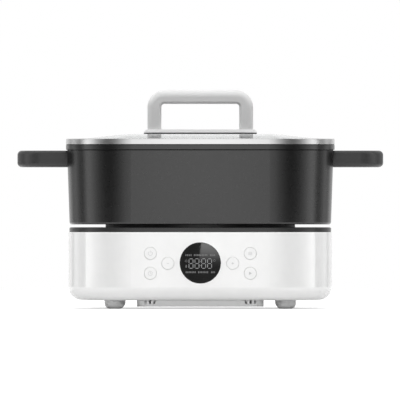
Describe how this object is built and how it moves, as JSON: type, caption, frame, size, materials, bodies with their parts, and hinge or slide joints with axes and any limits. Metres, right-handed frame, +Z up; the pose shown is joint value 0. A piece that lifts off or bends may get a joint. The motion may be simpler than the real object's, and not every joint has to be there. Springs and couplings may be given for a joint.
{
  "type": "electric hot pot",
  "caption": "Rounded rectangular electric hot pot: heated white base with display and keys, dark lift-off pot with side handles, and a glass lid with a steel band and arched handle.",
  "frame": {"origin": "on the table, under the middle of the base", "axes": "+Z up, the control panel faces -Y, +X to the right of someone who looks at the panel"},
  "size_m": [0.42, 0.244, 0.251],
  "materials": {
    "base_white": "satin white moulding",
    "frame_dark": "dark moulding",
    "cover_grey": "pale moulding",
    "cast_alloy": "machined casting",
    "plate_dark": "dark coated casting",
    "element_steel": "heat-darkened steel",
    "sheet_steel": "pressed sheet",
    "screw_steel": "zinc-plated",
    "spring_steel": "spring wire",
    "bakelite": "moulded phenolic",
    "window_black": "polished black",
    "module_black": "black moulding",
    "board_green": "solder mask",
    "parts_mixed": "moulded component cases",
    "key_white": "satin white moulding",
    "inlet_black": "black moulding",
    "pin_brass": "nickel-plated brass",
    "foot_white": "translucent white moulding",
    "pad_rubber": "grey matt rubber",
    "pot_coating": "dark non-stick coating",
    "handle_dark": "dark moulded phenolic",
    "lid_steel": "polished steel band",
    "lid_clear": "tempered glass",
    "seal_black": "silicone",
    "grip_grey": "pale grey satin moulding",
    "seal_grey": "grey silicone"
  },
  "bodies": {
    "base": {"base_shell": "base_white", "top_frame": "frame_dark", "bottom_cover": "cover_grey", "hot_plate": "plate_dark", "heating_element": "element_steel", "heat_shield": "sheet_steel", "shield_screws": "screw_steel", "thermal_cutout": "bakelite", "sensor_housing": "sheet_steel", "sensor_spring": "spring_steel", "display_window": "window_black", "display_module": "module_black", "control_board": "board_green", "key_switches": "module_black", "board_screws": "screw_steel", "power_board": "board_green", "power_components": "parts_mixed", "power_board_screws": "screw_steel", "power_inlet": "inlet_black", "inlet_pins": "pin_brass", "inlet_screws": "screw_steel", "feet": "foot_white", "foot_pads": "pad_rubber", "foot_screws": "screw_steel", "cover_screws": "screw_steel"},
    "pot": {"pot_body": "pot_coating", "pot_disc": "plate_dark", "side_handle_left": "handle_dark", "side_handle_right": "handle_dark", "side_handle_screws": "screw_steel"},
    "lid": {"lid_rim": "lid_steel", "lid_glass": "lid_clear", "lid_gasket": "seal_black", "lid_handle": "grip_grey", "handle_gasket": "seal_grey", "handle_bushes": "seal_grey", "handle_washers": "screw_steel", "lid_handle_screws": "screw_steel"},
    "sensor": {"temperature_sensor": "cast_alloy", "sensor_clip": "spring_steel"},
    "key_power": {"key_power": "key_white"},
    "key_timer": {"key_timer": "key_white"},
    "key_minus": {"key_minus": "key_white"},
    "key_plus": {"key_plus": "key_white"},
    "key_menu": {"key_menu": "key_white"},
    "key_start": {"key_start": "key_white"}
  },
  "joints": [
    {"name": "pot_lift", "type": "slide", "parent": "base", "child": "pot", "axis": [0, 0, 1], "range_m": [0, 0.12]},
    {"name": "lid_lift", "type": "slide", "parent": "pot", "child": "lid", "axis": [0, 0, 1], "range_m": [0, 0.08]},
    {"name": "sensor_press", "type": "slide", "parent": "base", "child": "sensor", "axis": [0, 0, 1], "range_m": [-0.0015, 0], "stiffness_N_per_m": 600, "springref_m": 0.002, "deforming": ["sensor_spring"]},
    {"name": "key_power_press", "type": "slide", "parent": "base", "child": "key_power", "axis": [0, 1, 0], "range_m": [0, 0.0005], "stiffness_N_per_m": 2000},
    {"name": "key_timer_press", "type": "slide", "parent": "base", "child": "key_timer", "axis": [0, 1, 0], "range_m": [0, 0.0005], "stiffness_N_per_m": 2000},
    {"name": "key_minus_press", "type": "slide", "parent": "base", "child": "key_minus", "axis": [0, 1, 0], "range_m": [0, 0.0005], "stiffness_N_per_m": 2000},
    {"name": "key_plus_press", "type": "slide", "parent": "base", "child": "key_plus", "axis": [0, 1, 0], "range_m": [0, 0.0005], "stiffness_N_per_m": 2000},
    {"name": "key_menu_press", "type": "slide", "parent": "base", "child": "key_menu", "axis": [0, 1, 0], "range_m": [0, 0.0005], "stiffness_N_per_m": 2000},
    {"name": "key_start_press", "type": "slide", "parent": "base", "child": "key_start", "axis": [0, 1, 0], "range_m": [0, 0.0005], "stiffness_N_per_m": 2000}
  ]
}
